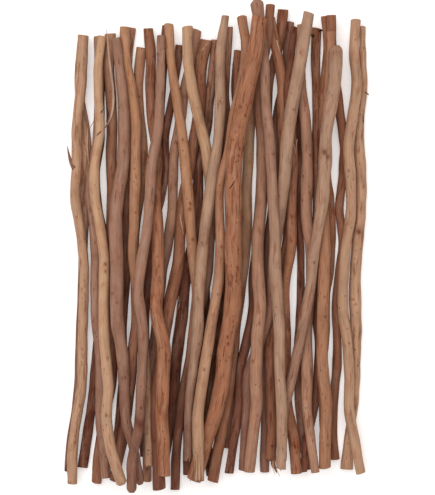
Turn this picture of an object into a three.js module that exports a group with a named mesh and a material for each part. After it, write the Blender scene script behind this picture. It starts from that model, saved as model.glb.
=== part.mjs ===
// A bundle of twigs: forty-two dry, mostly peeled sticks laid side by side and across each
// other in a loose flat heap, with nothing tying them. Each stick is one solid of its own.
//
// Millimetres. X runs across the bundle, Y along it, and Z is up from the surface it lies on.
// The sticks are given in the order in which they were laid, the lowest first.

import * as THREE from "three";

const SIDES = 8; // flats round a stick, with one of them facing straight down
const RINGS = 15; // sections along a stick, evenly spaced between its two cut ends
const AIR = 0.3; // gap kept where one stick bears on another
const BEND = 1.5; // how far a stick curves away from straight between neighbouring sections
const STEP = 1; // spacing of the places where sticks are tested against each other
const SWEEPS = 40; // times the heap is gone over while it settles
const STILL = 0.001; // a heap that rises less than this in one sweep has settled

// What the wood is like: freshly peeled, weathered, or with some of its inner bark left on.
const WOODS = {
  pale_tan: { color: 0xc09a74, roughness: 0.72 },
  grey_tan: { color: 0xae917b, roughness: 0.78 },
  pink_brown: { color: 0xac806a, roughness: 0.74 },
  brown: { color: 0xa5785a, roughness: 0.75 },
  red_brown: { color: 0xa0654b, roughness: 0.76 },
  dark_brown: { color: 0x74483a, roughness: 0.8 },
};

// One row for each stick, numbered from left to right by its far end. Its bends are places
// [x, y] that its middle line passes through, from the far cut end to the near one. Its
// thicknesses are the diameters at even steps between the same two ends.
const STICKS = [
  {
    name: "twig_20_dark_brown",
    bends: [
      [9, 292], [5, 240], [4, 190], [2, 145], [-4, 105], [-9, 70], [-14, 30], [-16, -10], [-15, -50],
      [-14, -85], [-15, -110], [-19, -145], [-23, -185], [-27, -225], [-27, -260], [-25, -296],
    ],
    thicknesses: [11, 11, 11],
  },
  {
    name: "twig_04_dark_brown",
    bends: [
      [-154, 258], [-157, 200], [-157, 140], [-163, 100], [-163, 72], [-155, 25], [-152, -10],
      [-156, -80], [-162, -150], [-167, -200], [-172, -240], [-181, -300],
    ],
    thicknesses: [11, 12, 13],
  },
  {
    name: "twig_13_dark_brown",
    bends: [
      [-68, 295], [-71, 255], [-75, 205], [-77, 160], [-82, 110], [-88, 60], [-93, 10], [-98, -40],
      [-98, -100], [-98, -160], [-99, -220], [-98, -285],
    ],
    thicknesses: [12, 11, 11],
  },
  {
    name: "twig_34_dark_brown",
    bends: [
      [114, 284], [112, 240], [111, 200], [111, 160], [112, 115], [111, 70], [110, 45], [113, 15],
      [114, -15], [114, -50], [113, -90], [111, -130], [111, -170], [112, -210], [114, -240],
      [117, -262], [121, -285], [123, -303],
    ],
    thicknesses: [11, 11, 11, 11, 10, 10, 10, 12, 12, 12, 10],
  },
  {
    name: "twig_23_dark_brown",
    bends: [
      [29, 262], [26, 235], [27, 195], [28, 145], [24, 100], [22, 50], [22, 0], [23, -50], [25, -95],
      [25, -120], [22, -160], [20, -195], [19, -222], [15, -250], [12, -273],
    ],
    thicknesses: [11, 13, 13, 13, 12],
  },
  {
    name: "twig_15_red_brown",
    bends: [
      [-50, 270], [-52, 245], [-56, 220], [-61, 192], [-66, 165], [-69, 140], [-68, 112], [-70, 82],
      [-75, 60], [-83, 30], [-88, 0], [-92, -45], [-96, -110], [-96, -180], [-94, -250], [-93, -317],
    ],
    thicknesses: [10, 10, 9, 10, 11, 11, 11],
  },
  {
    name: "twig_09_dark_brown",
    bends: [
      [-114, 293], [-117, 268], [-121, 225], [-120, 160], [-120, 90], [-122, 30], [-121, -25],
      [-124, -62], [-127, -105], [-126, -165], [-126, -195], [-131, -232], [-134, -275],
      [-134, -298],
    ],
    thicknesses: [10, 13, 13, 12, 13],
  },
  {
    name: "twig_31_grey_tan",
    bends: [
      [100, 301], [96, 275], [94, 245], [92, 225], [86, 198], [80, 165], [80, 140], [81, 110],
      [79, 75], [74, 42], [71, 25], [69, -10], [68, -30], [70, -65], [69, -110], [64, -148],
      [65, -190], [66, -225], [65, -306],
    ],
    thicknesses: [10, 11, 11, 11, 12, 12, 12, 12],
  },
  {
    name: "twig_30_red_brown",
    bends: [
      [90, 317], [87, 290], [84, 268], [77, 244], [70, 220], [69, 190], [68, 150], [67, 120],
      [65, 85], [62, 55], [58, 25], [54, -5], [50, -40], [49, -75], [48, -100], [43, -120],
      [38, -140], [33, -160], [30, -185], [30, -215], [27, -243], [20, -280], [17, -307],
    ],
    thicknesses: [14, 12, 13, 13, 13, 13, 13, 12],
  },
  {
    name: "twig_22_dark_brown",
    bends: [
      [16, 293], [14, 250], [11, 205], [13, 178], [11, 145], [6, 110], [3, 85], [2, 55], [4, 20],
      [7, -20], [8, -55], [8, -80], [5, -105], [2, -128], [-4, -162], [-9, -195], [-12, -225],
      [-13, -250], [-11, -285], [-7, -311],
    ],
    thicknesses: [11, 12, 12, 13, 13, 13, 12],
  },
  {
    name: "twig_19_dark_brown",
    bends: [
      [-2, 276], [-4, 245], [-9, 212], [-10, 175], [-15, 145], [-23, 115], [-25, 80], [-25, 45],
      [-29, 12], [-37, -20], [-43, -55], [-46, -90], [-51, -125], [-54, -160], [-59, -200],
      [-62, -240], [-70, -280], [-72, -298],
    ],
    thicknesses: [11, 12, 13, 14, 16, 16, 15, 13],
  },
  {
    name: "twig_17_pink_brown",
    bends: [
      [-27, 290], [-31, 258], [-41, 232], [-44, 200], [-49, 165], [-55, 138], [-58, 105], [-59, 65],
      [-61, 30], [-67, -5], [-74, -42], [-78, -80], [-82, -118], [-87, -152], [-92, -182],
      [-92, -240], [-91, -286],
    ],
    thicknesses: [14, 14, 13, 14, 13, 13, 12],
  },
  {
    name: "twig_36_red_brown",
    bends: [
      [135, 292], [134, 255], [135, 215], [135, 170], [134, 130], [135, 85], [135, 50], [137, 15],
      [136, -25], [134, -60], [135, -97], [138, -125], [139, -160], [134, -190], [132, -217],
      [125, -245], [121, -268], [117, -305],
    ],
    thicknesses: [14, 12, 11, 11, 12, 12, 12, 12, 11, 10],
  },
  {
    name: "twig_37_red_brown",
    bends: [
      [146, 308], [150, 278], [147, 248], [145, 215], [143, 185], [145, 150], [148, 100], [151, 72],
      [155, 40], [155, 0], [153, -30], [148, -55], [147, -75], [150, -100], [144, -125],
      [142, -165], [144, -220], [145, -285],
    ],
    thicknesses: [10, 11, 12, 12, 11, 12, 12, 12],
  },
  {
    name: "twig_42_brown",
    bends: [
      [197, 295], [197, 262], [199, 230], [197, 200], [193, 170], [192, 135], [195, 95], [194, 40],
      [191, 8], [188, -25], [187, -60], [188, -105], [189, -150], [188, -190], [185, -220],
      [180, -250], [177, -280], [176, -302],
    ],
    thicknesses: [8, 10, 13, 16, 15, 15, 17, 15, 11, 13, 16],
  },
  {
    name: "twig_01_dark_brown",
    bends: [
      [-180, 281], [-184, 250], [-185, 205], [-177, 150], [-176, 105], [-179, 50], [-181, -40], [-185, -150],
      [-187, -205], [-194, -245], [-199, -305],
    ],
    thicknesses: [13, 12, 13],
  },
  {
    name: "twig_06_brown",
    bends: [
      [-143, 284], [-145, 240], [-141, 175], [-142, 110], [-141, 60], [-142, 10], [-142, -60],
      [-141, -130], [-141, -175], [-146, -210], [-154, -243], [-159, -285], [-162, -320],
    ],
    thicknesses: [15, 14, 14],
  },
  {
    name: "twig_10_brown",
    bends: [
      [-101, 266], [-104, 240], [-106, 205], [-103, 170], [-98, 122], [-102, 75], [-108, 32],
      [-110, -10], [-107, -50], [-100, -105], [-95, -150], [-91, -200], [-90, -250], [-89, -294],
    ],
    thicknesses: [14, 12, 12, 12, 13],
  },
  {
    name: "twig_18_brown",
    bends: [
      [-14, 275], [-20, 248], [-22, 215], [-22, 192], [-28, 162], [-31, 130], [-37, 98], [-44, 65],
      [-48, 30], [-49, -5], [-54, -40], [-62, -75], [-68, -110], [-73, -150], [-78, -185],
      [-79, -230], [-77, -290], [-76, -323],
    ],
    thicknesses: [16, 15, 14, 15, 17, 16, 16, 17],
  },
  {
    name: "twig_39_pink_brown",
    bends: [
      [154, 308], [154, 272], [157, 240], [161, 210], [166, 178], [171, 145], [172, 108], [168, 75],
      [166, 52], [170, 15], [168, -20], [164, -52], [161, -85], [163, -125], [163, -160],
      [159, -200], [157, -245], [160, -289],
    ],
    thicknesses: [13, 14, 13, 12, 12, 11, 11, 11, 12, 12, 12],
  },
  {
    name: "twig_38_brown",
    bends: [
      [152, 284], [152, 250], [150, 215], [147, 180], [146, 140], [146, 100], [144, 60], [145, 20],
      [145, -20], [143, -55], [142, -90], [141, -130], [141, -160], [146, -198], [147, -222],
      [145, -258], [144, -280], [145, -297],
    ],
    thicknesses: [12, 12, 12, 12, 13, 16, 16, 15, 16, 15, 16],
  },
  {
    name: "twig_29_red_brown",
    bends: [
      [72, 304], [77, 275], [83, 250], [88, 218], [88, 185], [88, 150], [91, 110], [95, 65],
      [98, 28], [95, 5], [91, -12], [85, -50], [77, -92], [72, -130], [72, -180], [74, -235],
      [74, -262], [73, -290],
    ],
    thicknesses: [14, 14, 14, 13, 12, 12, 13, 14],
  },
  {
    name: "twig_32_red_brown",
    bends: [
      [104, 291], [102, 265], [98, 238], [95, 212], [97, 180], [101, 145], [103, 100], [100, 60],
      [101, 15], [99, -12], [93, -38], [92, -70], [93, -110], [94, -150], [94, -205], [98, -235],
      [104, -262], [107, -285], [107, -306],
    ],
    thicknesses: [9, 10, 12, 13, 14, 13, 13, 13, 15, 15],
  },
  {
    name: "twig_33_pink_brown",
    bends: [
      [113, 294], [112, 260], [112, 225], [116, 192], [121, 145], [122, 95], [121, 50], [123, 15],
      [128, -15], [127, -55], [122, -95], [121, -145], [122, -195], [121, -228], [126, -260],
      [130, -285], [132, -303],
    ],
    thicknesses: [10, 13, 14, 15, 16, 15, 14, 14, 15, 15, 12, 11],
  },
  {
    name: "twig_16_pale_tan",
    bends: [
      [-39, 292], [-38, 245], [-33, 212], [-26, 180], [-19, 150], [-12, 115], [-8, 75], [-9, 35],
      [-10, 0], [-11, -30], [-14, -50], [-22, -80], [-28, -115], [-33, -155], [-36, -200],
      [-38, -245], [-39, -309],
    ],
    thicknesses: [14, 15, 15, 14, 13, 13, 13],
  },
  {
    name: "twig_27_pale_tan",
    bends: [
      [57, 288], [54, 255], [50, 222], [46, 180], [44, 130], [41, 90], [41, 50], [40, 10],
      [37, -25], [33, -55], [28, -90], [24, -120], [20, -160], [15, -200], [10, -235], [4, -268],
      [-4, -297], [-5, -317],
    ],
    thicknesses: [14, 14, 14, 14, 14, 15, 15],
  },
  {
    name: "twig_03_pink_brown",
    bends: [
      [-159, 280], [-158, 210], [-160, 150], [-165, 112], [-170, 80], [-169, 55], [-164, 15],
      [-163, -50], [-162, -100], [-157, -145], [-156, -200], [-156, -240], [-151, -280],
      [-148, -312],
    ],
    thicknesses: [12, 13, 14],
  },
  {
    name: "twig_08_pale_tan",
    bends: [
      [-123, 293], [-122, 240], [-117, 217], [-110, 190], [-109, 140], [-109, 60], [-111, 0],
      [-110, -35], [-105, -76], [-108, -108], [-111, -140], [-114, -180], [-118, -212],
      [-124, -255], [-131, -285], [-137, -315],
    ],
    thicknesses: [13, 15, 14, 13, 13, 14, 13],
  },
  {
    name: "twig_14_pale_tan",
    bends: [
      [-64, 296], [-62, 255], [-58, 225], [-52, 188], [-46, 145], [-41, 105], [-38, 65], [-34, 20],
      [-31, -20], [-27, -50], [-27, -80], [-30, -102], [-33, -138], [-42, -178], [-47, -218],
      [-52, -258], [-55, -295], [-56, -329],
    ],
    thicknesses: [12, 12, 14, 15, 14, 13, 12, 12, 13],
  },
  {
    name: "twig_11_red_brown",
    bends: [
      [-92, 291], [-88, 245], [-89, 200], [-86, 165], [-80, 130], [-79, 108], [-81, 85], [-81, 55],
      [-78, 20], [-77, -30], [-79, -90], [-73, -120], [-68, -145], [-71, -185], [-72, -225],
      [-69, -285], [-69, -303],
    ],
    thicknesses: [14, 14, 14, 16, 17, 17, 16],
  },
  {
    name: "twig_07_grey_tan",
    bends: [
      [-135, 277], [-131, 245], [-126, 205], [-124, 150], [-126, 100], [-133, 60], [-135, 25],
      [-132, -30], [-132, -95], [-125, -140], [-122, -180], [-122, -218], [-114, -255],
      [-105, -290], [-101, -318],
    ],
    thicknesses: [12, 16, 18, 18, 14, 11],
  },
  {
    name: "twig_02_brown",
    bends: [
      [-179, 281], [-182, 215], [-188, 150], [-188, 105], [-190, 65], [-186, 35], [-180, 0],
      [-178, -50], [-180, -120], [-181, -190], [-186, -222], [-192, -255], [-194, -320],
    ],
    thicknesses: [14, 13, 14],
  },
  {
    name: "twig_41_pale_tan",
    bends: [
      [188, 303], [185, 262], [188, 228], [187, 195], [181, 165], [177, 130], [178, 100], [182, 70],
      [181, 48], [176, 12], [172, -22], [170, -60], [171, -100], [176, -132], [179, -165],
      [177, -200], [179, -226], [184, -255], [190, -283], [194, -306],
    ],
    thicknesses: [13, 13, 14, 15, 14, 14, 14, 15, 14, 14, 14, 13],
  },
  {
    name: "twig_35_grey_tan",
    bends: [
      [123, 308], [117, 278], [111, 240], [103, 200], [96, 155], [92, 115], [90, 82], [85, 48],
      [80, 10], [76, -30], [74, -68], [70, -95], [62, -120], [54, -143], [44, -165], [41, -195],
      [41, -225], [38, -260], [36, -303],
    ],
    thicknesses: [14, 17, 17, 17, 16, 15, 14, 14, 13, 13],
  },
  {
    name: "twig_40_pink_brown",
    bends: [
      [158, 263], [158, 235], [155, 200], [148, 168], [145, 135], [144, 95], [141, 60], [136, 25],
      [129, -20], [126, -52], [121, -82], [113, -120], [106, -158], [98, -188], [92, -215],
      [88, -248], [87, -290],
    ],
    thicknesses: [19, 18, 16, 17, 18, 15, 14, 14, 14, 13, 13, 12, 12],
  },
  {
    name: "twig_12_grey_tan",
    bends: [
      [-74, 280], [-75, 225], [-77, 165], [-82, 128], [-87, 98], [-89, 55], [-93, 12], [-100, -28],
      [-104, -55], [-99, -88], [-97, -120], [-98, -165], [-101, -215], [-104, -257],
      [-111, -281], [-112, -326],
    ],
    thicknesses: [11, 12, 14, 13, 14, 13, 13, 13],
  },
  {
    name: "twig_05_pale_tan",
    bends: [
      [-153, 279], [-158, 240], [-158, 200], [-156, 145], [-164, 98], [-163, 68], [-155, 20],
      [-150, -30], [-151, -90], [-147, -150], [-143, -190], [-145, -238], [-142, -260],
      [-130, -292], [-124, -315],
    ],
    thicknesses: [11, 14, 14],
  },
  {
    name: "twig_28_pink_brown",
    bends: [
      [72, 320], [70, 290], [66, 262], [59, 225], [57, 190], [60, 150], [61, 115], [60, 75],
      [58, 30], [54, 0], [53, -15], [56, -42], [58, -85], [57, -105], [52, -145], [53, -180],
      [53, -220], [50, -248], [45, -280], [44, -303],
    ],
    thicknesses: [12, 12, 13, 14, 15, 16, 16, 16, 16, 15, 14],
  },
  {
    name: "twig_21_grey_tan",
    bends: [
      [12, 307], [7, 278], [5, 240], [5, 185], [2, 140], [-4, 100], [-10, 60], [-15, 20],
      [-20, -20], [-23, -65], [-25, -110], [-30, -155], [-35, -192], [-37, -225], [-38, -288],
    ],
    thicknesses: [11, 15, 14, 16, 15, 15, 12, 13],
  },
  {
    name: "twig_25_grey_tan",
    bends: [
      [53, 325], [56, 298], [62, 265], [64, 235], [65, 195], [70, 145], [73, 95], [75, 50],
      [78, 10], [78, -45], [82, -80], [84, -105], [83, -145], [86, -195], [87, -245], [86, -297],
    ],
    thicknesses: [18, 12, 13, 15, 14, 15, 17, 15, 15, 15, 13],
  },
  {
    name: "twig_24_pale_tan",
    bends: [
      [34, 306], [38, 275], [40, 248], [35, 222], [28, 195], [20, 155], [15, 120], [7, 92],
      [4, 60], [5, 10], [3, -45], [-3, -75], [-6, -105], [-13, -145], [-20, -190], [-25, -235],
      [-24, -270], [-23, -313],
    ],
    thicknesses: [13, 13, 13, 10, 13, 14, 15, 15, 14],
  },
  {
    name: "twig_26_red_brown",
    bends: [
      [57, 300], [54, 270], [47, 238], [38, 200], [31, 160], [24, 120], [22, 90], [23, 40],
      [22, -10], [23, -60], [18, -105], [11, -145], [8, -182], [0, -218], [-10, -248],
      [-20, -280], [-30, -313],
    ],
    thicknesses: [19, 22, 22, 22, 22, 21, 21, 20, 19],
  },
];

// Two sticks that pass each other twice: the one laid first is on top the second time.
const WOVEN = { over: "twig_24_pale_tan", under: "twig_26_red_brown", nearerThan: -230 };

// How far a stick's middle line lies to the side at a place y along the bundle, and how fast
// it drifts there: a cubic curve through its bends, whose slope at a bend is that of the
// straight line between the bends on either side.
function sideways(bends, y) {
  const last = bends.length - 1;
  let k = 0;
  while (k < last - 1 && y < bends[k + 1][1]) {
    k += 1;
  }
  const slopeAt = (i) => {
    const a = bends[Math.max(i - 1, 0)];
    const b = bends[Math.min(i + 1, last)];
    return (b[0] - a[0]) / (b[1] - a[1]);
  };
  const span = bends[k + 1][1] - bends[k][1];
  const t = (y - bends[k][1]) / span;
  const rise = bends[k + 1][0] - bends[k][0];
  const m0 = slopeAt(k) * span;
  const m1 = slopeAt(k + 1) * span;
  const a = m0 + m1 - 2 * rise;
  const b = 3 * rise - 2 * m0 - m1;
  return {
    x: bends[k][0] + t * (m0 + t * (b + t * a)),
    drift: (m0 + t * (2 * b + t * 3 * a)) / span,
  };
}

// A value that a list gives at even steps, read at a fraction of the way along it.
function along(list, fraction) {
  const place = THREE.MathUtils.clamp(fraction, 0, 1) * (list.length - 1);
  const k = Math.min(Math.floor(place), list.length - 2);
  return THREE.MathUtils.lerp(list[k], list[k + 1], place - k);
}

// The rings of one stick, which are upright sections across the bundle. Each has the place x
// and the height z of its middle, its half thickness, and how much it is stretched sideways
// because the stick runs askew.
function ringsOf(stick) {
  const far = stick.bends[0][1];
  const near = stick.bends[stick.bends.length - 1][1];
  const rings = { name: stick.name, far, near, x: [], z: [], half: [], stretch: [] };
  for (let k = 0; k < RINGS; k += 1) {
    const fraction = k / (RINGS - 1);
    const { x, drift } = sideways(stick.bends, THREE.MathUtils.lerp(far, near, fraction));
    const half = along(stick.thicknesses, fraction) / 2;
    rings.x.push(x);
    rings.half.push(half);
    rings.stretch.push(Math.hypot(1, drift));
    rings.z.push(half);
  }
  return rings;
}

// Whether stick a, laid after stick b, still passes over it at a place y along the bundle.
function passesOver(a, b, y) {
  const woven = a.name === WOVEN.under && b.name === WOVEN.over;
  return !(woven && y < WOVEN.nearerThan);
}

// Every place where two sticks bear on each other, and by how much the middle of the upper
// one has to stand above the middle of the lower one. For two upright eight-sided sections
// whose half thicknesses add up to `reach`, that is `reach` where their flats meet, and less
// where their slanting sides do. Sections further apart than `reach` don't meet.
function contactsIn(heap) {
  const contacts = [];
  heap.forEach((a, i) => {
    heap.slice(0, i).forEach((b) => {
      for (let y = Math.max(a.near, b.near); y <= Math.min(a.far, b.far); y += STEP) {
        const inA = (a.far - y) / (a.far - a.near);
        const inB = (b.far - y) / (b.far - b.near);
        const stretch = Math.max(along(a.stretch, inA), along(b.stretch, inB));
        const side = Math.abs(along(a.x, inA) - along(b.x, inB)) / stretch;
        const reach = along(a.half, inA) + along(b.half, inB) + AIR;
        if (side < reach) {
          const rise = Math.min(reach, reach * Math.SQRT2 - side);
          const onTop = passesOver(a, b, y);
          contacts.push({
            upper: onTop ? a : b,
            lower: onTop ? b : a,
            inUpper: onTop ? inA : inB,
            inLower: onTop ? inB : inA,
            rise,
          });
        }
      }
    });
  });
  return contacts;
}

// Wood is stiff. From each place where a stick bears on another it falls away to both sides
// along a parabola, and between two such places it sags no deeper than the same parabola
// turned over. Straight lines between rings cut below a parabola by a quarter of BEND.
function bend(rings, contacts) {
  const z = [...rings.half];
  for (const { lower, inUpper, inLower, rise } of contacts) {
    const height = along(lower.z, inLower) + rise + BEND / 4;
    z.forEach((_, k) => {
      const away = k - inUpper * (RINGS - 1);
      z[k] = Math.max(z[k], height - BEND * away ** 2);
    });
  }
  for (let pass = 0; pass < RINGS; pass += 1) {
    for (let k = 1; k < RINGS - 1; k += 1) {
      z[k] = Math.max(z[k], (z[k - 1] + z[k + 1]) / 2 - BEND);
    }
  }
  return z;
}

// Lays every stick on the surface and lifts them, the lowest first, until none of them cuts
// into another.
function settle(heap) {
  const contacts = contactsIn(heap);
  for (let sweep = 0; sweep < SWEEPS; sweep += 1) {
    let moved = 0;
    for (const rings of heap) {
      const z = bend(rings, contacts.filter(({ upper }) => upper === rings));
      moved = Math.max(moved, ...z.map((height, k) => Math.abs(height - rings.z[k])));
      rings.z = z;
    }
    if (moved < STILL) {
      return;
    }
  }
}

// The closed surface of one stick: its rings joined by two triangles for each flat, and each
// cut end closed by a fan of triangles.
function surfaceOf(rings) {
  const points = [];
  const faces = [];
  const corner = 1 / Math.cos(Math.PI / SIDES);
  for (let k = 0; k < RINGS; k += 1) {
    const y = THREE.MathUtils.lerp(rings.far, rings.near, k / (RINGS - 1));
    for (let s = 0; s < SIDES; s += 1) {
      const turn = ((s + 0.5) * 2 * Math.PI) / SIDES;
      const reach = rings.half[k] * corner;
      const x = rings.x[k] + reach * rings.stretch[k] * Math.cos(turn);
      points.push(x, y, rings.z[k] + reach * Math.sin(turn));
    }
  }
  for (let k = 0; k < RINGS - 1; k += 1) {
    for (let s = 0; s < SIDES; s += 1) {
      const here = k * SIDES + s;
      const next = k * SIDES + ((s + 1) % SIDES);
      faces.push(here, next, here + SIDES, next, next + SIDES, here + SIDES);
    }
  }
  const end = (RINGS - 1) * SIDES;
  for (let s = 1; s < SIDES - 1; s += 1) {
    faces.push(0, s + 1, s);
    faces.push(end, end + s, end + s + 1);
  }
  const surface = new THREE.BufferGeometry();
  surface.setAttribute("position", new THREE.Float32BufferAttribute(points, 3));
  surface.setIndex(faces);
  surface.computeVertexNormals();
  return surface;
}

function woodOf(name) {
  const kind = name.split("_").slice(2).join("_");
  return new THREE.MeshStandardMaterial({ ...WOODS[kind], metalness: 0 });
}

const heap = STICKS.map(ringsOf);
settle(heap);

const bundle = new THREE.Group();
for (const rings of heap) {
  const twig = new THREE.Mesh(surfaceOf(rings), woodOf(rings.name));
  twig.name = rings.name;
  bundle.add(twig);
}

// The origin is on the surface the bundle lies on, under the middle of its outline.
const outline = new THREE.Box3().setFromObject(bundle);
const middle = outline.getCenter(new THREE.Vector3());
bundle.position.set(-middle.x, -middle.y, -outline.min.z);

export default bundle;
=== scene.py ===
import bpy
import numpy as np
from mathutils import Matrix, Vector


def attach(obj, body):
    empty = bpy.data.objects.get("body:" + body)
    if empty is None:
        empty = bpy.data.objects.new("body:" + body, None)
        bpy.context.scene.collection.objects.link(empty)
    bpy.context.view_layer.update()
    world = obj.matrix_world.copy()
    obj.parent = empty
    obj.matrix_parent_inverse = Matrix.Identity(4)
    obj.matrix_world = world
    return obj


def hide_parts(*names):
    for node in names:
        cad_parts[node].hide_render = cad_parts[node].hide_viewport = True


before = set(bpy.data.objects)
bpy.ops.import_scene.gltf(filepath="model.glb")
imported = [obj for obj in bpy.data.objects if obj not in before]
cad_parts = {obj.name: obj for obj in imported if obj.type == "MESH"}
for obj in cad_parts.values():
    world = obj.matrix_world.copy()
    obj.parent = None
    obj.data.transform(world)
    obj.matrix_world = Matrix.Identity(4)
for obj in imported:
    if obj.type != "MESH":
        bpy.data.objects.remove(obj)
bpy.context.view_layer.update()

# ---------------------------------------------------------------------------------------
# The bundle lies flat and is looked at from straight above, through a long lens, so the
# sticks keep their true proportions from one edge of the bundle to the other.

VIEW_CENTRE = (0.0023, -0.0013)
VIEW_HEIGHT = 0.66  # metres of the bundle's length that the frame takes in
HEAP_MIDDLE = 0.040  # half the height of the heap, where the frame takes in that length
LENS = 135.0
SENSOR = 36.0
FARTHEST = 50.0

camera_data = bpy.data.cameras.new("overhead_camera")
camera_data.lens = LENS
camera_data.sensor_width = SENSOR
camera_data.clip_end = FARTHEST
camera = bpy.data.objects.new("overhead_camera", camera_data)
camera.location = (*VIEW_CENTRE, HEAP_MIDDLE + VIEW_HEIGHT * LENS / SENSOR)
bpy.context.scene.collection.objects.link(camera)
bpy.context.scene.camera = camera

# ---------------------------------------------------------------------------------------
# A pale matt floor under the bundle, and soft light: one wide panel overhead and an even
# white surround, so the sticks shade each other only where they come close.

bpy.context.scene.view_settings.view_transform = "Standard"


def linear(hex_colour):
    """The linear colour of an sRGB hex value. Up to 0.04045 a channel is divided by 12.92.
    Above that it is (channel + 0.055) / 1.055 to the power 2.4."""
    channels = np.array([int(hex_colour[k : k + 2], 16) for k in (1, 3, 5)]) / 255
    curved = ((channels + 0.055) / 1.055) ** 2.4
    return tuple(np.where(channels <= 0.04045, channels / 12.92, curved)) + (1.0,)


FLOOR_HALF = 4.0
FLOOR_DROP = 0.0003  # just below the lowest sticks, so that the two faces don't fight
FLOOR_GLOW = 0.3  # keeps the floor light in the gaps between the sticks

floor_mesh = bpy.data.meshes.new("floor")
turned_corners = ((-1, -1), (1, -1), (1, 1), (-1, 1))
corners = [(x * FLOOR_HALF, y * FLOOR_HALF, -FLOOR_DROP) for x, y in turned_corners]
floor_mesh.from_pydata(corners, [], [(0, 1, 2, 3)])
floor_paint = bpy.data.materials.new("matt white studio floor")
floor_paint.use_nodes = True
floor_shader = floor_paint.node_tree.nodes["Principled BSDF"]
floor_shader.inputs["Base Color"].default_value = linear("#F7F5F3")
floor_shader.inputs["Roughness"].default_value = 0.9
floor_shader.inputs["Emission Color"].default_value = linear("#FFFFFF")
floor_shader.inputs["Emission Strength"].default_value = FLOOR_GLOW
floor_mesh.materials.append(floor_paint)
floor = bpy.data.objects.new("floor", floor_mesh)
bpy.context.scene.collection.objects.link(floor)

PANEL_SIDE = 3.2
PANEL_PLACE = (-0.5, 0.5, 3.0)
PANEL_WATTS = 84.0

panel_data = bpy.data.lights.new("overhead_panel", "AREA")
panel_data.size = PANEL_SIDE
panel_data.energy = PANEL_WATTS
panel = bpy.data.objects.new("overhead_panel", panel_data)
panel.location = PANEL_PLACE
panel.rotation_euler = (Vector((0, 0, 0)) - panel.location).to_track_quat("-Z", "Y").to_euler()
bpy.context.scene.collection.objects.link(panel)

SURROUND_STRENGTH = 0.42

surround = bpy.data.worlds.new("even_surround")
surround.use_nodes = True
surround.node_tree.nodes["Background"].inputs["Color"].default_value = linear("#FFFDFA")
surround.node_tree.nodes["Background"].inputs["Strength"].default_value = SURROUND_STRENGTH
bpy.context.scene.world = surround

# ---------------------------------------------------------------------------------------
# Pale peeled sticks: sapwood of thin branches whose bark was stripped while green. They
# dried to a straw colour, with fine lengthwise grain and a few small dark knots.

MM = 1e-3
ROWS = 400  # sections along a stick, about 1.5 mm apart
COLUMNS = 24  # points round a stick
CAD_TRACE = (0.96, 2.0)  # the millimetres by which the frame lies off the places below
LEAST_HALF = 0.003  # the least half thickness of a stick


def through(values, stops, places):
    """A value known at the stops, read at the places. Between two stops it is a cubic. Its
    slope at a stop is that of the parabola through the stop and the two beside it, and at the
    first and the last stop that of the straight line to the next one."""
    slopes = np.gradient(values, stops)
    k = np.clip(np.searchsorted(stops, places, side="right") - 1, 0, len(stops) - 2)
    span = stops[k + 1] - stops[k]
    t = (places - stops[k]) / span
    rise = values[k + 1] - values[k]
    a = span * (slopes[k] + slopes[k + 1]) - 2 * rise
    b = 3 * rise - span * (2 * slopes[k] + slopes[k + 1])
    return values[k] + t * (span * slopes[k] + t * (b + t * a))


def centre_line(node):
    """The smooth middle line and half thickness of a CAD twig, from its far end to its near
    one. The corners of each of its sections share one y. The middle of a section is the
    middle of the box round its corners, and its half thickness is half the box's height."""
    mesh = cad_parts[node].data
    corners = np.empty(len(mesh.vertices) * 3, np.float32)
    mesh.vertices.foreach_get("co", corners)
    corners = corners.reshape(-1, 3).astype(float)
    ys, section = np.unique(np.round(corners[:, 1], 5), return_inverse=True)
    low = np.full((len(ys), 3), np.inf)
    high = np.full((len(ys), 3), -np.inf)
    np.minimum.at(low, section, corners)
    np.maximum.at(high, section, corners)
    middle = (low + high) / 2
    half = (high - low)[:, 2] / 2
    y = np.linspace(ys[-1], ys[0], ROWS)
    path = np.stack([through(middle[:, 0], ys, y), y, through(middle[:, 2], ys, y)], 1)
    return path, np.maximum(through(half, ys, y), LEAST_HALF)


def waves(rng, along, around, count, lengths, turns):
    """An uneven field, mostly between -1.5 and 1.5. It is a sum of cosines of (2 pi * along /
    length + turns * around + phase), divided by the root of their count. Each has a random
    length in metres, a random whole number of turns either way round and a random phase."""
    total = np.zeros(np.broadcast(along, around).shape)
    for _ in range(count):
        length = rng.uniform(*lengths)
        turn = rng.integers(turns[0], turns[1] + 1) * rng.choice((-1, 1))
        total += np.cos(2 * np.pi * along / length + turn * around + rng.uniform(0, 2 * np.pi))
    return total / np.sqrt(count)


def axes_of(path):
    """Three unit vectors at each point of a path: along it, level and square to it, and
    square to both. The second is the cross product of the first with straight up."""
    ahead = np.gradient(path, axis=0)
    ahead /= np.linalg.norm(ahead, axis=1, keepdims=True)
    side = np.cross(ahead, (0.0, 0.0, 1.0))
    side /= np.linalg.norm(side, axis=1, keepdims=True)
    return ahead, side, np.cross(side, ahead)


def closed_rod(path, axes, reach, lean):
    """A closed rod: at angle a round the path its surface is path + reach * (cos a * side +
    sin a * up) + lean * ahead. Its two ends run in to a pole each."""
    ahead, side, up = (axis[:, None] for axis in axes)
    around = np.linspace(0, 2 * np.pi, reach.shape[1], endpoint=False)[None, :, None]
    out = side * np.cos(around) + up * np.sin(around)
    grid = path[:, None] + reach[..., None] * out + lean[..., None] * ahead
    points = np.vstack([grid.reshape(-1, 3), path[:1], path[-1:]])
    rows, columns = reach.shape
    here = np.arange(rows * columns).reshape(rows, columns)
    beside = np.roll(here, -1, axis=1)
    quads = np.stack([here[:-1], here[1:], beside[1:], beside[:-1]], -1).reshape(-1, 4)
    first_pole = np.full(columns, rows * columns)
    first_fan = np.stack([first_pole, here[0], beside[0]], 1)
    last_fan = np.stack([first_pole + 1, beside[-1], here[-1]], 1)
    return points, quads, np.vstack([first_fan, last_fan])


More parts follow.
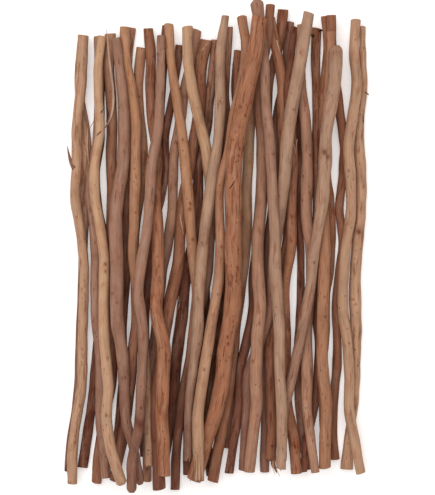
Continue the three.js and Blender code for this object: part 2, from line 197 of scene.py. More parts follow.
def with_ends(values, caps):
    """Repeats the first and last row of a field for the rows that cap the two ends."""
    return np.concatenate([np.repeat(values[:1], caps, 0), values, np.repeat(values[-1:], caps, 0)])


# The wood stands a little outside the flats of the CAD stick and is slightly oval, both as
# shares of its half thickness, and the oval turns along the stick, in radians a metre.
FULLNESS = 1.01
OVAL = (0.01, 0.05)
OVAL_TURN = (-4, 4)
LUMPS = {"count": 9, "lengths": (0.03, 0.12), "turns": (0, 2)}
FURROWS = {"count": 10, "lengths": (0.05, 0.4), "turns": (4, 9)}

# A knot is a raised ring round a hollow, longer than it is wide. Its rise and the depth of
# its hollow are shares of its size.
KNOT_LENGTH = 1.5
KNOT_RISE = 0.30
KNOT_HOLLOW = 0.42
SMALL_KNOT_COUNT = (4, 8)  # from 4 to 7 of them
SMALL_KNOT_SIZE = (1.0, 2.2)  # in millimetres


def knotted(rng, reach, path, half, around, knots):
    """Raises a reach by the listed knots, and by a few small ones at random all the way
    round. With off as the distance from a knot's middle over its size, the wood rises by
    rise * exp(-off^2) - hollow * exp(-(2.4 off)^2) and darkens by exp(-(1.7 off)^3)."""
    placed = []
    for y, s, size in knots:
        placed.append(((y + CAD_TRACE[1]) * MM, np.arccos(np.clip(-s, -1, 1)), size * MM))
    for _ in range(rng.integers(*SMALL_KNOT_COUNT)):
        y = rng.uniform(path[-1, 1], path[0, 1])
        placed.append((y, rng.uniform(0, 2 * np.pi), rng.uniform(*SMALL_KNOT_SIZE) * MM))
    dark = np.zeros_like(reach)
    for y, angle, size in placed:
        aside = (around - angle + np.pi) % (2 * np.pi) - np.pi
        off = np.hypot((path[:, 1:2] - y) / (KNOT_LENGTH * size), half[:, None] * aside / size)
        bump = KNOT_RISE * np.exp(-(off**2)) - KNOT_HOLLOW * np.exp(-((2.4 * off) ** 2))
        reach = reach + size * bump
        dark = np.maximum(dark, np.exp(-((1.7 * off) ** 3)))
    return reach, dark


# Rows that close an end, from its middle outwards: the share of the radius, and how far the
# row stands back from the cut face as a share of the half thickness.
CAP = np.array([(0.04, 0.0), (0.3, 0.0), (0.6, 0.0), (0.84, 0.0), (0.95, 0.03), (0.99, 0.08)])
CAPS = len(CAP)
FACE_OUT = 0.12  # how far the cut face stands out past the CAD end, as the same share
BLUNTING = 0.7
END_FADE = 0.005  # metres over which the slant and the teeth of an end die away
SLANT = (-0.22, 0.22)
TEETH = {"count": 6, "lengths": (1, 2), "turns": (2, 9)}

# How sharply the far tone gives way to the near one, and how uneven the change is.
TONE_CHANGE = 11
UNEVEN_CHANGE = 0.12
CHANGE_WAVES = {"count": 5, "lengths": (0.04, 0.2), "turns": (0, 2)}
CLOUDINESS = 0.05
CLOUDS = {"count": 6, "lengths": (0.02, 0.1), "turns": (0, 3)}
KNOT_DARKNESS = 0.72
STAIN_WAVES = {"count": 4, "lengths": (0.01, 0.04), "turns": (1, 3)}
DARKENING = (0.7, 1.05, 1.2)  # powers for red, green and blue


def stick_tint(rng, y, distance, around, dark, far, near, turn, stains):
    """The colour at each point of a stick. It runs from the far tone to the near one by a
    logistic curve, steepest at the share of the length that turn gives. Knots and stains
    darken it, each colour channel by the shade to a power of its own. A stain fades away from
    its middle as exp(-off^2) does."""
    blend = 1 / (1 + np.exp(-(distance / distance[-1] - turn) * TONE_CHANGE))
    blend = np.clip(blend + UNEVEN_CHANGE * waves(rng, distance, around, **CHANGE_WAVES), 0, 1)
    blend = blend[..., None]
    tint = np.array(linear(far))[:3] * (1 - blend) + np.array(linear(near))[:3] * blend
    tint = tint * (1 + CLOUDINESS * waves(rng, distance, around, **CLOUDS))[..., None]
    shade = 1 - KNOT_DARKNESS * with_ends(dark, CAPS)
    for stain_y, length, depth in stains:
        off = (y - (stain_y + CAD_TRACE[1]) * MM) / (length * 0.5e-3)
        patch = np.exp(-(off**2)) * (0.7 + 0.3 * waves(rng, distance, around, **STAIN_WAVES))
        shade = shade * (1 - depth * np.clip(patch, 0, 1))
    return tint * shade[..., None] ** DARKENING


def stick(
    node, seed, far, near, turn=0.5, knots=(), stains=(),
    furrow=0.10, lump=0.30, ragged=(0, 0), blunt=(0, 0),
):
    """The surface of one stick round its middle line. Its reach is the CAD half thickness made
    slightly oval, plus long lumps, plus lengthwise furrows, plus its knots. Each knot is (y
    mm, place across the top from -1 to 1, size mm). Each stain is (y mm, length mm, depth).
    furrow and lump are in millimetres. ragged is how many millimetres each end is torn, and
    blunt how many it is rounded over: there the reach is multiplied by the root of (1 - 0.7
    u^2), with u going from 0 to 1 at the end."""
    rng = np.random.default_rng(seed)
    path, half = centre_line(node)
    steps = np.linalg.norm(np.diff(path, axis=0), axis=1)
    run = np.concatenate([[0], np.cumsum(steps)])[:, None]
    around = np.linspace(0, 2 * np.pi, COLUMNS, endpoint=False)[None]
    twist = rng.uniform(0, np.pi) + run * rng.uniform(*OVAL_TURN)
    reach = half[:, None] * (FULLNESS + rng.uniform(*OVAL) * np.cos(2 * (around - twist)))
    reach = reach + lump * MM * waves(rng, run, around, **LUMPS)
    reach = reach + furrow * MM * waves(rng, run, around, **FURROWS)
    reach, dark = knotted(rng, reach, path, half, around, knots)

    # Ends: the rows of CAP at the far end and, turned over, at the near one. The cut slants
    # a little, and a torn end has teeth. The small lengths added below keep an end that
    # isn't blunt as it is.
    share = np.concatenate([CAP[:, 0], np.ones(ROWS), CAP[::-1, 0]])[:, None]
    axes = [with_ends(axis, CAPS) for axis in axes_of(path)]
    middle = with_ends(path, CAPS)
    middle[:CAPS] += axes[0][0] * (CAP[:, 1:2] - FACE_OUT) * half[0]
    middle[-CAPS:] -= axes[0][-1] * (CAP[::-1, 1:2] - FACE_OUT) * half[-1]
    for inward, length in ((run, blunt[0]), (run[-1] - run, blunt[1])):
        u = np.clip(1 - (inward + 1e-4) / (length * MM + 1e-5), 0, 1)
        reach = reach * np.sqrt(1 - BLUNTING * u**2)
    reach = with_ends(reach, CAPS) * share
    distance = with_ends(run, CAPS)
    lean = np.zeros_like(reach)
    for end, sign, torn in ((distance[0], 1, ragged[0]), (distance[-1], -1, ragged[1])):
        fade = np.exp(-np.abs(distance - end) / END_FADE)
        slant = rng.uniform(*SLANT) * reach * np.cos(around - rng.uniform(0, 6.28))
        teeth = torn * MM * np.abs(waves(rng, 0 * run[:1], around, **TEETH))
        lean += fade * (slant + sign * teeth * share)
    points, quads, fans = closed_rod(middle, axes, reach, lean)
    points[:, 2] = np.maximum(points[:, 2], 0.0)
    tint = stick_tint(rng, middle[:, 1:2], distance, around, dark, far, near, turn, stains)

    # Straightened places, so that the grain follows the stick round its bends.
    straight = [reach * np.cos(around), distance + 0 * reach, reach * np.sin(around)]
    grain = np.stack(straight, -1) + rng.uniform(0, 5, 3)
    cut = np.zeros_like(reach)
    cut[: CAPS - 1] = 1
    cut[-CAPS + 1 :] = 1
    return {
        "points": points,
        "quads": quads,
        "fans": fans,
        "tint": np.vstack([tint.reshape(-1, 3), tint[0].mean(0), tint[-1].mean(0)]),
        "grain": np.vstack([grain.reshape(-1, 3), grain[0].mean(0), grain[-1].mean(0)]),
        "cut": np.concatenate([cut.ravel(), [1.0, 1.0]]),
        "pith": np.concatenate([reach.ravel(), [0.0, 0.0]]),
    }


FLANK = 0.97  # how far out from the middle line a place still counts as on top


def on_top(node, spots, lift):
    """Points on the upper side of a stick from (x, y) in millimetres, lifted off it by some
    more. The surface at x lies above the middle line by the root of (half thickness squared
    less the distance from the middle squared), and beside the stick it stays at its flank."""
    path, half = centre_line(node)
    spots = (np.array(spots, float) + CAD_TRACE) * MM
    ys = path[::-1, 1]
    x, z, r = (np.interp(spots[:, 1], ys, v[::-1]) for v in (path[:, 0], path[:, 2], half))
    aside = np.clip(spots[:, 0] - x, -FLANK * r, FLANK * r)
    return np.column_stack([spots, z + np.sqrt(r**2 - aside**2) + lift * MM])


SLIVER_ROWS = 36
SLIVER_COLUMNS = 12
SLIVER_TIP = 0.3  # the width of its two end rows, as a share of the width beside them
BARK_DEPTH = 0.004  # put down as a sliver's distance from the pith, well outside it


def sliver(points, widths, flat, tone):
    """A thin closed strip, such as a splinter, a spur or a curl of bark, on a smooth line
    through the points. Its section is an ellipse of the widths in millimetres, spread evenly
    along it, and as thick as flat times its width."""
    points = np.array(points, float)
    stops = np.concatenate([[0], np.cumsum(np.linalg.norm(np.diff(points, axis=0), axis=1))])
    share = np.concatenate([[0.0], np.linspace(0, 1, SLIVER_ROWS), [1.0]])
    path = np.stack([through(points[:, k], stops, share * stops[-1]) for k in range(3)], 1)
    spread = np.linspace(0, 1, len(share)) * stops[-1]
    axes = axes_of(np.stack([through(points[:, k], stops, spread) for k in range(3)], 1))
    around = np.linspace(0, 2 * np.pi, SLIVER_COLUMNS, endpoint=False)[None]
    wide = np.interp(share, np.linspace(0, 1, len(widths)), widths)[:, None] * 0.5e-3
    wide[[0, -1]] *= SLIVER_TIP
    reach = wide * flat / np.hypot(flat * np.cos(around), np.sin(around))
    points, quads, fans = closed_rod(path, axes, reach, np.zeros_like(reach))
    count = len(points)
    lengthwise = np.append(np.repeat(share * stops[-1], SLIVER_COLUMNS), [0, stops[-1]])
    return {
        "points": points,
        "quads": quads,
        "fans": fans,
        "tint": np.tile(linear(tone)[:3], (count, 1)),
        "grain": np.column_stack([points[:, 0], lengthwise, points[:, 2]]),
        "cut": np.zeros(count),
        "pith": np.full(count, BARK_DEPTH),
    }


def slivers(node, details):
    """The strips on one stick. Each is listed as (places from above in mm, lift above the
    stick in mm, widths in mm, flat, tone)."""
    strips = []
    for spots, lift, widths, flat, tone in details.get(node, []):
        strips.append(sliver(on_top(node, spots, lift), widths, flat, tone))
    return strips


def joined(parts):
    """One set of arrays from several closed surfaces, each keeping its own points."""
    starts = np.cumsum([0] + [len(p["points"]) for p in parts[:-1]])
    whole = {}
    for key in ("points", "tint", "grain", "cut", "pith"):
        whole[key] = np.concatenate([p[key] for p in parts])
    for key in ("quads", "fans"):
        whole[key] = np.concatenate([p[key] + s for p, s in zip(parts, starts)])
    return whole


def lay(node, wood, parts):
    """Puts the surfaces of one stick into a smooth-shaded mesh in place of its CAD node."""
    whole = joined(parts)
    name = "_".join(node.split("_")[:2])
    mesh = bpy.data.meshes.new(name)
    faces = whole["quads"].tolist() + whole["fans"].tolist()
    mesh.from_pydata(whole["points"].tolist(), [], faces)
    mesh.polygons.foreach_set("use_smooth", np.ones(len(mesh.polygons), bool))
    colours = np.hstack([whole["tint"], np.ones((len(whole["tint"]), 1))])
    tint = mesh.attributes.new("tint", "FLOAT_COLOR", "POINT")
    tint.data.foreach_set("color", colours.ravel())
    grain = mesh.attributes.new("grain", "FLOAT_VECTOR", "POINT")
    grain.data.foreach_set("vector", whole["grain"].ravel())
    for key in ("cut", "pith"):
        mesh.attributes.new(key, "FLOAT", "POINT").data.foreach_set("value", whole[key])
    mesh.materials.append(wood)
    mesh.update()
    piece = bpy.data.objects.new(name, mesh)
    bpy.context.scene.collection.objects.link(piece)
    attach(piece, "root")
    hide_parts(node)


def add(tree, kind, settings=None, out=0, **inputs):
    """Adds a node with its settings, and gives back one of its outputs. An input goes by its
    name, or by its number as in _0, and takes a value or another node's output."""
    node = tree.nodes.new(kind)
    for name, value in (settings or {}).items():
        setattr(node, name, value)
    for name, value in inputs.items():
        key = int(name[1:]) if name.startswith("_") else name.replace("_", " ")
        if isinstance(value, bpy.types.NodeSocket):
            tree.links.new(value, node.inputs[key])
        else:
            node.inputs[key].default_value = value
    return node.outputs[out]


# Noise in the wood: how wide its blobs are round the stick and how long along it, both in
# millimetres, then its detail and its distortion. Real fibres are about 0.05 mm wide, too
# fine to show, so the streaks are drawn at 2 mm.
WOOD_NOISE = {
    "streaks": (2.2, 45.0, 4.0, 0.0),
    "fine streaks": (0.8, 18.0, 3.0, 0.0),
    "greying": (8.0, 50.0, 3.0, 0.0),
    "blush": (7.0, 19.0, 4.0, 0.3),
    "flakes": (4.0, 30.0, 6.0, 0.3),
    "specked places": (12.0, 26.0, 1.0, 0.0),
    "cracks": (1.6, 110.0, 2.0, 0.0),
    "cracked places": (8.0, 60.0, 1.0, 0.0),
    "waver of rings": (3.0, 3.0, 2.0, 0.0),
}
NOISE_ROUGHNESS = 0.6
FINE_SHARE = 0.4  # how strong the fine streaks are, as a share of the others
SPECKS_A_METRE = (210, 105, 210)  # one in about 5 mm round the stick and 10 mm along it
RING_SPACING = 0.0014
RING_WAVER = 0.0012
BUMP_DEPTH = 0.0006


def wood_finish(name, bark, bark_share, streak, specks, roughness, relief):
    """Dry wood on the straightened places: pale and dark streaks a few millimetres wide and
    some centimetres long, cloudy patches, left-over flakes of bark, dark specks and drying
    cracks. Where the surface is a cut end it has growth rings round a dark pith instead."""
    wood = bpy.data.materials.new(name)
    wood.use_nodes = True
    tree = wood.node_tree
    shader = tree.nodes["Principled BSDF"]
    shader.inputs["Roughness"].default_value = roughness
    shader.inputs["IOR"].default_value = 1.5
    shader.inputs["Specular IOR Level"].default_value = 0.12
    grain = add(tree, "ShaderNodeAttribute", {"attribute_name": "grain"}, "Vector")
    tint = add(tree, "ShaderNodeAttribute", {"attribute_name": "tint"}, "Color")
    cut = add(tree, "ShaderNodeAttribute", {"attribute_name": "cut"}, "Fac")
    pith = add(tree, "ShaderNodeAttribute", {"attribute_name": "pith"}, "Fac")

    # The colours of a Mix node are its inputs 6 and 7 and its output 2. A Map Range node
    # carries its input from the range 1 to 2 over to the range 3 to 4.
    even = {"clamp": True, "interpolation_type": "LINEAR"}
    smooth = {"clamp": True, "interpolation_type": "SMOOTHSTEP"}
    over = {"data_type": "RGBA", "blend_type": "MIX"}
    stained = {"data_type": "RGBA", "blend_type": "MULTIPLY"}
    product = {"operation": "MULTIPLY"}

    noise = {}
    for kind, (width, length, detail, distortion) in WOOD_NOISE.items():
        a_metre = (1e3 / width, 1e3 / length, 1e3 / width)
        noise[kind] = add(
            tree, "ShaderNodeTexNoise",
            Vector=add(tree, "ShaderNodeVectorMath", product, _0=grain, _1=a_metre),
            Scale=1.0, Detail=detail, Roughness=NOISE_ROUGHNESS, Distortion=distortion,
        )

    # Streaks lighten and darken the tint, and the finer ones less than the others.
    shading = []
    for kind, depth in (("streaks", streak), ("fine streaks", streak * FINE_SHARE)):
        shading.append(
            add(
                tree, "ShaderNodeMapRange", even,
                _0=noise[kind], _1=0.3, _2=0.7, _3=1 - depth, _4=1 + depth,
            )
        )
    light = add(tree, "ShaderNodeMath", product, _0=shading[0], _1=shading[1])
    light = add(tree, "ShaderNodeCombineColor", Red=light, Green=light, Blue=light)
    body = add(tree, "ShaderNodeMix", stained, 2, _0=1.0, _6=tint, _7=light)

    # Patches lie over that, each where its noise passes from low to high. Greying mixes half
    # of a grey in, and a pink blush and left-over flakes of bark stain what is under them.
    flake_low = 0.98 - bark_share
    flake_high = 1.05 - bark_share
    patches = (
        ("greying", 0.5, 0.66, 0.4, over, 0.5, "#B79A86"),
        ("blush", 0.5, 0.66, 0.35, stained, 1.0, "#E3B59D"),
        ("flakes", flake_low, flake_high, 0.6, stained, 1.0, bark),
    )
    cover = {}
    for kind, low, high, most, way, strength, tone in patches:
        cover[kind] = add(
            tree, "ShaderNodeMapRange", smooth, _0=noise[kind], _1=low, _2=high, _3=0.0, _4=most
        )
        patch = add(tree, "ShaderNodeMix", way, 2, _0=strength, _6=body, _7=linear(tone))
        body = add(tree, "ShaderNodeMix", over, 2, _0=cover[kind], _6=body, _7=patch)

    # Specks are the middles of cells, in some places only. Cracks are where their noise
    # comes close to a half, in some places only.
    spread = add(tree, "ShaderNodeVectorMath", product, _0=grain, _1=SPECKS_A_METRE)
    cells = add(tree, "ShaderNodeTexVoronoi", None, "Distance", Vector=spread, Scale=1.0)
    dots = add(tree, "ShaderNodeMapRange", smooth, _0=cells, _1=0.10, _2=0.24, _3=1.0, _4=0.0)
    where = add(
        tree, "ShaderNodeMapRange", even,
        _0=noise["specked places"], _1=0.62 - specks, _2=0.68 - specks, _3=0.0, _4=1.0,
    )
    cover["specks"] = add(tree, "ShaderNodeMath", product, _0=dots, _1=where)
    off = add(tree, "ShaderNodeMath", {"operation": "SUBTRACT"}, _0=noise["cracks"], _1=0.5)
    off = add(tree, "ShaderNodeMath", {"operation": "ABSOLUTE"}, _0=off)
    lines = add(tree, "ShaderNodeMapRange", even, _0=off, _1=0.0, _2=0.012, _3=1.0, _4=0.0)
    where = add(
        tree, "ShaderNodeMapRange", even,
        _0=noise["cracked places"], _1=0.56, _2=0.62, _3=0.0, _4=1.0,
    )
    cover["cracks"] = add(tree, "ShaderNodeMath", product, _0=lines, _1=where)
    for kind, most, tone in (("specks", 0.65, "#5C2A18"), ("cracks", 0.6, "#3C1E12")):
        share = add(tree, "ShaderNodeMath", product, _0=cover[kind], _1=most)
        body = add(tree, "ShaderNodeMix", over, 2, _0=share, _6=body, _7=linear(tone))

    # A cut end: growth rings about 1.4 mm apart, which waver, round a pith 1 to 2 mm across.
    waver = add(tree, "ShaderNodeMath", product, _0=noise["waver of rings"], _1=RING_WAVER)
    from_pith = add(tree, "ShaderNodeMath", {"operation": "ADD"}, _0=pith, _1=waver)
    turns = add(tree, "ShaderNodeMath", product, _0=from_pith, _1=2 * np.pi / RING_SPACING)
    rings = add(tree, "ShaderNodeMath", {"operation": "SINE"}, _0=turns)
    rings = add(tree, "ShaderNodeMapRange", even, _0=rings, _1=-1.0, _2=1.0, _3=0.0, _4=0.45)
    early = add(tree, "ShaderNodeMix", stained, 2, _0=1.0, _6=tint, _7=linear("#FFF2E2"))
    late = add(tree, "ShaderNodeMix", stained, 2, _0=1.0, _6=tint, _7=linear("#B98A6C"))
    face = add(tree, "ShaderNodeMix", over, 2, _0=rings, _6=early, _7=late)
    core = add(tree, "ShaderNodeMapRange", even, _0=pith, _1=0.0004, _2=0.0009, _3=0.75, _4=0.0)
    face = add(tree, "ShaderNodeMix", over, 2, _0=core, _6=face, _7=linear("#4A2A1A"))
    colour = add(tree, "ShaderNodeMix", over, 2, _0=cut, _6=body, _7=face)
    tree.links.new(colour, shader.inputs["Base Color"])

    # Streaks and flakes stand out, and specks and cracks lie deeper.
    height = noise["streaks"]
    for part, amount, way in (
        (noise["fine streaks"], 0.5, "ADD"),
        (cover["flakes"], 0.5, "ADD"),
        (cover["specks"], 0.8, "SUBTRACT"),
        (cover["cracks"], 1.2, "SUBTRACT"),
    ):
        step = add(tree, "ShaderNodeMath", product, _0=part, _1=amount)
        height = add(tree, "ShaderNodeMath", {"operation": way}, _0=height, _1=step)
    bump = add(tree, "ShaderNodeBump", Strength=relief, Distance=BUMP_DEPTH, Height=height)
    tree.links.new(bump, shader.inputs["Normal"])
    return wood


# Tones of the wood, from the palest to the deepest. CHESTNUT is partly the wood's own tone
# and partly painted shade: it darkens sticks that lie low in the heap, and the near ends of
# some pale sticks where they run low under others.
STRAW = "#BC9474"
BUFF = "#B48C70"
HONEY = "#B08060"
TOFFEE = "#A47458"
RUST = "#8C5C44"
CHESTNUT = "#744838"
SPLIT = "#482818"  # the shaded inside of a split, old torn bark and nubs

peeled_sapwood = wood_finish(
    "peeled sapwood, dried", bark="#CF9A78", bark_share=0.38,
    streak=0.16, specks=0.05, roughness=0.66, relief=0.5,
)
PALE_STICKS = {
    "twig_05_pale_tan": {
        "far": STRAW,
        "near": BUFF,
        "turn": 0.7,
        "knots": [(-26, 0.3, 3.2), (-36, 0.3, 2.8), (-225, 0.0, 3.0), (178, 0.5, 2.0)],
        "blunt": (0, 3),
    },
    # Its near tone, CHESTNUT, is painted shade where this stick runs low under others.
    "twig_08_pale_tan": {
        "far": HONEY,
        "near": CHESTNUT,
        "turn": 0.56,
        "knots": [(253, -0.5, 2.2), (42, 0.2, 2.0)],
    },
    # Its near tone, CHESTNUT, is painted shade where this stick runs low under others.
    "twig_14_pale_tan": {
        "far": HONEY,
        "near": CHESTNUT,
        "turn": 0.6,
        "knots": [(140, 0.0, 2.4), (55, 0.3, 3.4), (48, 0.1, 2.8), (8, 0.2, 2.6)],
    },
    # Its near tone, CHESTNUT, is painted shade where this stick runs low under others.
    "twig_16_pale_tan": {"far": STRAW, "near": CHESTNUT, "turn": 0.42, "stains": [(163, 16, 0.25)]},
    "twig_24_pale_tan": {
        "far": TOFFEE,
        "near": BUFF,
        "turn": 0.66,
        "knots": [(-2, 0.3, 2.6), (-166, 0.0, 2.8)],
        "ragged": (0, 3),
    },
    "twig_27_pale_tan": {"far": STRAW, "near": RUST, "turn": 0.45},
    "twig_41_pale_tan": {
        "far": BUFF,
        "near": BUFF,
        "turn": 0.6,
        "knots": [(100, -0.3, 2.4), (-132, 0.3, 2.2)],
    },
}
PALE_DETAIL = {
    "twig_05_pale_tan": [
        ([(-160, 169), (-154, 177), (-150, 183)], 0.2, (0.6, 1.9, 0.8), 0.5, SPLIT),
        ([(-160, 174), (-155, 180)], 0.2, (0.4, 1.2, 0.4), 0.5, SPLIT),
        ([(-163, 143), (-157, 149), (-151, 155)], 0.2, (0.6, 1.8, 0.9), 0.5, SPLIT),
        ([(-163.5, 167), (-167, 160), (-171, 153)], 0.5, (0.9, 0.8, 0.6), 1.0, RUST),
    ],
    "twig_24_pale_tan": [
        ([(-28, -284), (-28.6, -312)], 0.1, (0.3, 1.1), 0.4, SPLIT),
        ([(-24.6, -276), (-24.8, -312)], 0.1, (0.3, 0.9), 0.4, SPLIT),
        ([(-21, -292), (-20.4, -312)], 0.1, (0.3, 0.9), 0.4, SPLIT),
        ([(-31, -296), (-34.5, -313)], -2.0, (2.4, 1.4), 0.6, TOFFEE),
    ],
}
for seed, (node, look) in enumerate(PALE_STICKS.items(), start=100):
    lay(node, peeled_sapwood, [stick(node, seed, **look), *slivers(node, PALE_DETAIL)])

# ---------------------------------------------------------------------------------------
# Weathered sticks: peeled wood whose outside has greyed, as it does outdoors. Some of them
# have soft dark stains, and one has a torn end.

# Tones of wood that has greyed, and of fresh wood under a torn strip.
DUNE = "#AC8870"
ASH = "#9C7460"
SMOKE = "#845C4C"
BARE = "#C8A48C"

weathered_wood = wood_finish(
    "weathered sapwood", bark="#C69A82", bark_share=0.38,
    streak=0.17, specks=0.05, roughness=0.74, relief=0.6,
)
WEATHERED_STICKS = {
    "twig_07_grey_tan": {
        "far": ASH,
        "near": SMOKE,
        "turn": 0.72,
        "knots": [(-65, -0.6, 2.6), (-77, 0.1, 2.2), (-175, 0.3, 2.6)],
        "stains": [(-26, 26, 0.2)],
        "blunt": (0, 6),
    },
    "twig_12_grey_tan": {
        "far": ASH,
        "near": SMOKE,
        "turn": 0.75,
        "stains": [(-234, 16, 0.5), (-236, 60, 0.2), (285, 30, 0.2)],
        "knots": [(-215, 0.2, 2.4)],
        "blunt": (0, 7),
    },
    "twig_21_grey_tan": {
        "far": DUNE,
        "near": SMOKE,
        "turn": 0.82,
        "knots": [(190, 0.0, 2.6)],
        "stains": [(5, 14, 0.3)],
        "ragged": (0, 4),
    },
    "twig_25_grey_tan": {
        "far": ASH,
        "near": DUNE,
        "knots": [(120, 0.4, 2.2), (-180, -0.2, 2.0)],
        "blunt": (6, 0),
    },
    "twig_31_grey_tan": {"far": SMOKE, "near": SMOKE},
    "twig_35_grey_tan": {"far": DUNE, "near": SMOKE, "turn": 0.5, "knots": [(180, 0.2, 2.2)]},
}
WEATHERED_DETAIL = {
    "twig_21_grey_tan": [
        ([(-41, -274), (-42, -281), (-43, -288)], -1.5, (2.4, 1.6, 0.5), 0.5, BARE),
        ([(-37, -274), (-36.4, -282), (-36, -290)], -2.0, (2.6, 1.8, 0.5), 0.5, BARE),
        ([(-34, -276), (-33, -282), (-32, -287)], -1.5, (2.0, 1.2, 0.4), 0.5, TOFFEE),
    ],
}
for seed, (node, look) in enumerate(WEATHERED_STICKS.items(), start=200):
    lay(node, weathered_wood, [stick(node, seed, **look), *slivers(node, WEATHERED_DETAIL)])

# ---------------------------------------------------------------------------------------
# Pinkish sticks: the green outer bark was scraped off and a thin pink inner bark stayed on
# the wood. It is smooth, and darker where the scraper missed it.

ROSE = "#A87C64"

pink_inner_bark = wood_finish(
    "pink inner bark, scraped", bark="#C88F74", bark_share=0.40,
    streak=0.17, specks=0.07, roughness=0.68, relief=0.6,
)
PINK_STICKS = {
    "twig_03_pink_brown": {"far": ASH, "near": ASH},
    "twig_17_pink_brown": {"far": ROSE, "near": SMOKE, "knots": [(138, 0.2, 2.6)]},
    "twig_28_pink_brown": {
        "far": RUST,
        "near": ROSE,
        "turn": 0.3,
        "knots": [(-154, -0.6, 2.6), (-104, 0.1, 2.2)],
    },
    "twig_33_pink_brown": {
        "far": ROSE,
        "near": ROSE,
        "turn": 0.35,
        "knots": [(121, 0.5, 2.6), (93, -0.7, 2.4), (60, -0.7, 2.4), (-106, 0.2, 2.4)],
    },
    "twig_39_pink_brown": {"far": RUST, "near": RUST},
    "twig_40_pink_brown": {
        "far": DUNE,
        "near": ASH,
        "turn": 0.55,
        "knots": [(124, -0.2, 4.6), (118, 0.3, 3.4), (-23, 0.2, 2.8)],
        "stains": [(256, 40, 0.35), (124, 16, 0.25)],
        "lump": 0.5,
        "blunt": (8, 0),
    },
}
for seed, (node, look) in enumerate(PINK_STICKS.items(), start=300):
    lay(node, pink_inner_bark, [stick(node, seed, **look)])

# ---------------------------------------------------------------------------------------
# Brown sticks: straighter shoots that kept more of their inner bark. It dried to a warm
# brown and is wearing off in strips, which hang on or lie loose along the stick.

brown_inner_bark = wood_finish(
    "brown inner bark, worn", bark="#BA8868", bark_share=0.42,
    streak=0.18, specks=0.08, roughness=0.72, relief=0.7,
)
BROWN_STICKS = {
    "twig_02_brown": {
        "far": BUFF,
        "near": BUFF,
        "knots": [(-215, 0.3, 2.2)],
        "stains": [(-90, 20, 0.12)],
    },
    "twig_06_brown": {
        "far": BUFF,
        "near": RUST,
        "turn": 0.05,
        "furrow": 0.2,
        "stains": [(-150, 90, 0.3)],
    },
    "twig_10_brown": {
        "far": TOFFEE,
        "near": BUFF,
        "turn": 0.68,
        "ragged": (0, 3),
        "knots": [(200, 0.2, 2.4)],
    },
    "twig_18_brown": {
        "far": RUST,
        "near": CHESTNUT,
        "turn": 0.78,
        "furrow": 0.25,
        "knots": [(-114, 0.3, 3.0)],
    },
    "twig_38_brown": {
        "far": TOFFEE,
        "near": TOFFEE,
        "knots": [(-96, 0.4, 2.8), (-70, 0.2, 2.2), (-266, 0.4, 2.4)],
    },
    "twig_42_brown": {
        "far": BUFF,
        "near": BUFF,
        "turn": 0.3,
        "knots": [(18, -0.1, 4.4), (-73, -0.4, 2.6)],
        "stains": [(18, 12, 0.3)],
        "lump": 0.45,
    },
}
BROWN_DETAIL = {
    "twig_02_brown": [
        ([(-191, 103), (-195, 110), (-198.5, 122), (-200.5, 133)], 0.0, (7, 5, 3, 0.8), 0.8, SMOKE),
    ],
    "twig_06_brown": [
        ([(-147, 283), (-144, 250), (-140.5, 222), (-138.5, 195), (-142, 172), (-150, 158)], 0.9,
         (4.0, 3.6, 3.6, 4.0, 3.4, 1.2), 0.4, BARE),
        ([(-147, 280), (-147.4, 288), (-147, 296)], 0.0, (1.0, 0.7, 0.3), 1.0, DUNE),
        ([(-149, 166), (-145.5, 175), (-147.5, 186)], 0.2, (0.6, 2.2, 0.6), 0.5, SPLIT),
    ],
    "twig_10_brown": [([(-98, 259), (-95.5, 263), (-93.8, 267)], -2.0, (3.0, 2.0, 0.5), 0.7, TOFFEE)],
    "twig_18_brown": [
        ([(-10.5, 272), (-17, 264), (-25, 254), (-27, 246)], 0.3, (1.2, 1.8, 1.8, 0.5), 0.5, BUFF),
        ([(-49, 42), (-47, 28), (-44, 14)], 0.2, (1.0, 2.6, 0.6), 0.4, BUFF),
        ([(-50, -68), (-52.5, -80), (-54, -94)], 0.0, (0.4, 0.8, 0.4), 0.8, BARE),
        ([(-48.5, -72), (-50.5, -83), (-55, -90)], 0.4, (0.3, 0.6, 0.3), 0.8, BARE),
    ],
    "twig_42_brown": [
        ([(200, 206), (203, 205), (205.6, 203)], -0.5, (3.0, 2.4, 1.2), 0.9, SPLIT),
        ([(186.5, -6), (188.5, -7), (191, -8)], 0.0, (1.2, 2.8, 1.0), 0.3, BARE),
    ],
}
for seed, (node, look) in enumerate(BROWN_STICKS.items(), start=400):
    lay(node, brown_inner_bark, [stick(node, seed, **look), *slivers(node, BROWN_DETAIL)])

# ---------------------------------------------------------------------------------------
# Reddish sticks: the bark was left on and dried thin and tight. It is covered with small
# dark pores, split where a stick was bent, and torn off with some of the ends.

RUSSET = "#A06C50"

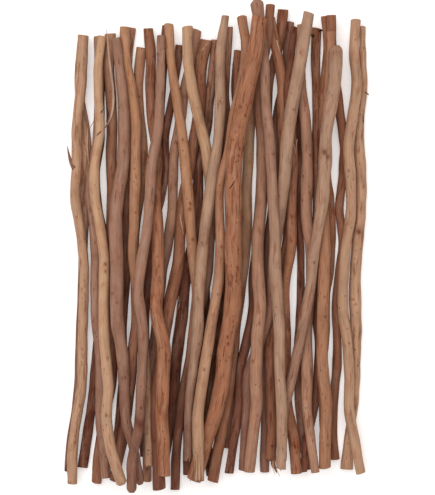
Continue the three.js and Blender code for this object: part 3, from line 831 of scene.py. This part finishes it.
red_bark = wood_finish(
    "red bark, dried tight", bark="#B97C5E", bark_share=0.44,
    streak=0.19, specks=0.13, roughness=0.7, relief=0.8,
)
RED_STICKS = {
    "twig_11_red_brown": {
        "far": RUST,
        "near": RUSSET,
        "turn": 0.42,
        "furrow": 0.2,
        "knots": [(-153, 0.8, 3)],
    },
    "twig_15_red_brown": {"far": CHESTNUT, "near": ROSE, "turn": 0.88},
    "twig_26_red_brown": {
        "far": RUSSET,
        "near": RUSSET,
        "turn": 0.7,
        "furrow": 0.22,
        "lump": 0.4,
        "knots": [
            (181, -0.2, 3.0), (171, 0.5, 2.6), (155, 0.1, 2.6), (127, 0.5, 2.8), (118, 0.5, 2.4),
            (115, -0.1, 2.4), (-27, -0.8, 2.8), (-30, 0.5, 2.8), (-50, -0.5, 3.6), (-121, 0.0, 3.0),
            (-130, 0.3, 2.6),
        ],
    },
    "twig_29_red_brown": {"far": RUSSET, "near": RUST, "knots": [(-270, 0.1, 2.8)], "ragged": (0, 5)},
    "twig_30_red_brown": {"far": RUST, "near": CHESTNUT},
    "twig_32_red_brown": {
        "far": CHESTNUT,
        "near": RUSSET,
        "turn": 0.3,
        "knots": [(39, -0.2, 3.6), (-270, 0.0, 2.4), (-278, 0.2, 2.2)],
        "stains": [(-40, 18, 0.15), (-140, 70, 0.3)],
    },
    "twig_36_red_brown": {"far": RUSSET, "near": CHESTNUT, "turn": 0.3},
    "twig_37_red_brown": {"far": RUSSET, "near": RUST},
}
RED_DETAIL = {
    "twig_26_red_brown": [([(13.5, 69), (20, 78), (27, 89)], 0.1, (0.5, 1.6, 0.5), 0.5, SPLIT)],
    "twig_29_red_brown": [
        ([(80.5, 274), (82.5, 266), (86, 255)], 0.1, (2.4, 2.0, 0.5), 0.4, BARE),
        ([(83.5, 168), (88, 166)], 0.0, (0.6, 0.6), 0.5, SPLIT),
        ([(76, -284), (77.5, -297), (81, -306)], -2.0, (4.0, 3.4, 1.8), 0.6, RUST),
        ([(79.5, -284), (82, -296), (87, -304)], -1.6, (3.0, 2.6, 1.0), 0.6, BARE),
        ([(73.5, -284), (74.5, -296), (77, -303)], -2.2, (2.6, 2.0, 0.8), 0.6, CHESTNUT),
        ([(78, -288), (80, -300), (85, -311)], -0.9, (1.3, 1.2, 0.6), 0.8, BARE),
        ([(76, -290), (76, -300), (79, -309)], -0.7, (1.2, 1.0, 0.5), 0.8, BARE),
    ],
    "twig_32_red_brown": [
        ([(101, 146), (103, 134), (106.5, 122)], 0.1, (1.6, 1.4, 0.5), 0.4, BARE),
        ([(108, 142), (106.5, 132), (106, 122)], 0.1, (1.4, 1.2, 0.5), 0.4, BARE),
    ],
    "twig_36_red_brown": [
        ([(131, 282), (128, 283.5), (126, 286)], 1.0, (4.5, 3.2, 1.5), 0.8, SPLIT),
        ([(139, 288), (141.5, 290), (143.5, 289)], 1.0, (4.0, 3.0, 1.5), 0.8, SPLIT),
    ],
}
for seed, (node, look) in enumerate(RED_STICKS.items(), start=500):
    lay(node, red_bark, [stick(node, seed, **look), *slivers(node, RED_DETAIL)])

# ---------------------------------------------------------------------------------------
# Dark sticks, most of them low in the heap: all of their outer bark is left on. It is
# rougher than the rest, furrowed along the stick and nearly without sheen. Their deepest
# tones are partly that bark and partly painted shade for their low place in the heap.

# Partly the dark bark, partly painted shade of the low places in the heap.
UMBER = "#5C3828"
DARK_FURROW = 0.25

dark_bark = wood_finish(
    "dark bark, furrowed", bark="#AC7A64", bark_share=0.48,
    streak=0.22, specks=0.08, roughness=0.8, relief=0.9,
)
DARK_STICKS = {
    "twig_01_dark_brown": {"far": BUFF, "near": SMOKE, "turn": 0.35},
    "twig_04_dark_brown": {"far": CHESTNUT, "near": CHESTNUT},
    "twig_09_dark_brown": {"far": ROSE, "near": CHESTNUT, "turn": 0.35},
    "twig_13_dark_brown": {"far": ASH, "near": UMBER, "turn": 0.08},
    "twig_19_dark_brown": {"far": ROSE, "near": CHESTNUT, "turn": 0.1},
    "twig_20_dark_brown": {"far": UMBER, "near": UMBER},
    "twig_22_dark_brown": {"far": ROSE, "near": UMBER, "turn": 0.1},
    "twig_23_dark_brown": {"far": RUSSET, "near": CHESTNUT, "turn": 0.12},
    "twig_34_dark_brown": {"far": CHESTNUT, "near": ASH, "turn": 0.84},
}
DARK_DETAIL = {
    "twig_01_dark_brown": [
        ([(-173.5, 158), (-174, 135), (-172.5, 108)], 0.2, (1.0, 2.0, 0.8), 0.4, BARE),
        ([(-172, 104), (-168.5, 110), (-171, 113)], 0.5, (0.8, 2.0, 0.6), 0.6, SPLIT),
    ],
}
for seed, (node, look) in enumerate(DARK_STICKS.items(), start=600):
    lay(node, dark_bark, [stick(node, seed, furrow=DARK_FURROW, **look), *slivers(node, DARK_DETAIL)])
